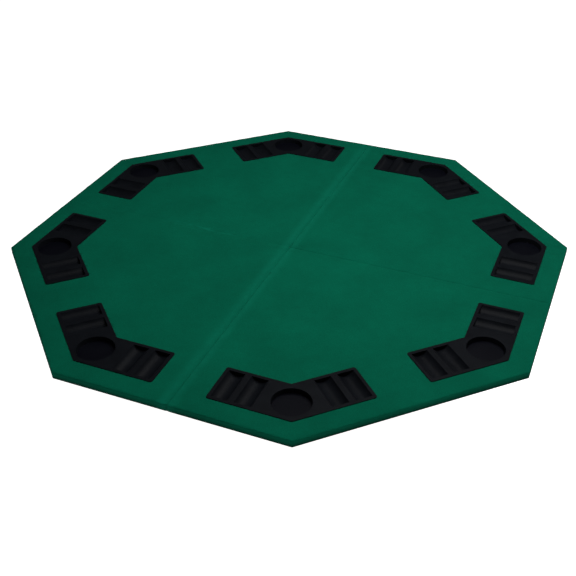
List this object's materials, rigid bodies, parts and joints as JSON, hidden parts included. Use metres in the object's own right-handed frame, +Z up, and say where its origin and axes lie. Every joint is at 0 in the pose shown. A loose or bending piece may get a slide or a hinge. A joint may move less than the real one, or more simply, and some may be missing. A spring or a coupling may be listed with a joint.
{
  "type": "folding card table top",
  "caption": "Octagonal felt-covered game table top in folding quarter panels, with black corner trays holding cup wells and chip grooves.",
  "frame": {"origin": "middle of the octagon, on the plane that the feet rest on", "axes": "+Z up out of the playing surface; X and Y along the two folding lines, at right angles to four of the eight sides"},
  "size_m": [1.2, 1.2, 0.0218],
  "materials": {
    "felt": "matte",
    "foam": "matte",
    "board": "matte",
    "tray": "satin",
    "rubber": "matte",
    "steel": "satin",
    "screw": "satin"
  },
  "bodies": {
    "nw": {"board_nw": "board", "foam_pad_nw": "foam", "felt_cover_nw": "felt", "chip_tray_nw_1": "tray", "chip_tray_nw_2": "tray", "foot_nw_1": "rubber", "foot_nw_2": "rubber", "foot_nw_3": "rubber", "hinge_leaf_nw_1": "steel", "hinge_leaf_nw_2": "steel", "hinge_pin_nw_1": "steel", "hinge_pin_nw_2": "steel", "screw_nw_1": "screw", "screw_nw_2": "screw", "screw_nw_3": "screw", "screw_nw_4": "screw"},
    "sw": {"board_sw": "board", "foam_pad_sw": "foam", "felt_cover_sw": "felt", "chip_tray_sw_1": "tray", "chip_tray_sw_2": "tray", "foot_sw_1": "rubber", "foot_sw_2": "rubber", "foot_sw_3": "rubber", "hinge_leaf_sw_1": "steel", "hinge_leaf_sw_2": "steel", "hinge_pin_sw_1": "steel", "hinge_pin_sw_2": "steel", "screw_sw_1": "screw", "screw_sw_2": "screw", "screw_sw_3": "screw", "screw_sw_4": "screw"},
    "ne": {"board_ne": "board", "foam_pad_ne": "foam", "felt_cover_ne": "felt", "chip_tray_ne_1": "tray", "chip_tray_ne_2": "tray", "foot_ne_1": "rubber", "foot_ne_2": "rubber", "foot_ne_3": "rubber", "hinge_leaf_ne_1": "steel", "hinge_leaf_ne_2": "steel", "screw_ne_1": "screw", "screw_ne_2": "screw", "screw_ne_3": "screw", "screw_ne_4": "screw"},
    "se": {"board_se": "board", "foam_pad_se": "foam", "felt_cover_se": "felt", "chip_tray_se_1": "tray", "chip_tray_se_2": "tray", "foot_se_1": "rubber", "foot_se_2": "rubber", "foot_se_3": "rubber", "hinge_leaf_se_1": "steel", "hinge_leaf_se_2": "steel", "screw_se_1": "screw", "screw_se_2": "screw", "screw_se_3": "screw", "screw_se_4": "screw"}
  },
  "joints": [
    {"name": "sw_fold", "type": "hinge", "parent": "nw", "child": "sw", "pos_m": [0, 0, 0.0221], "axis": [-1, 0, 0], "range_deg": [0, 180]},
    {"name": "ne_fold", "type": "hinge", "parent": "nw", "child": "ne", "pos_m": [0, 0, 0.0025], "axis": [0, 1, 0], "range_deg": [0, 180]},
    {"name": "se_fold", "type": "hinge", "parent": "sw", "child": "se", "pos_m": [0, 0, 0.0025], "axis": [0, 1, 0], "range_deg": [0, 180]}
  ]
}
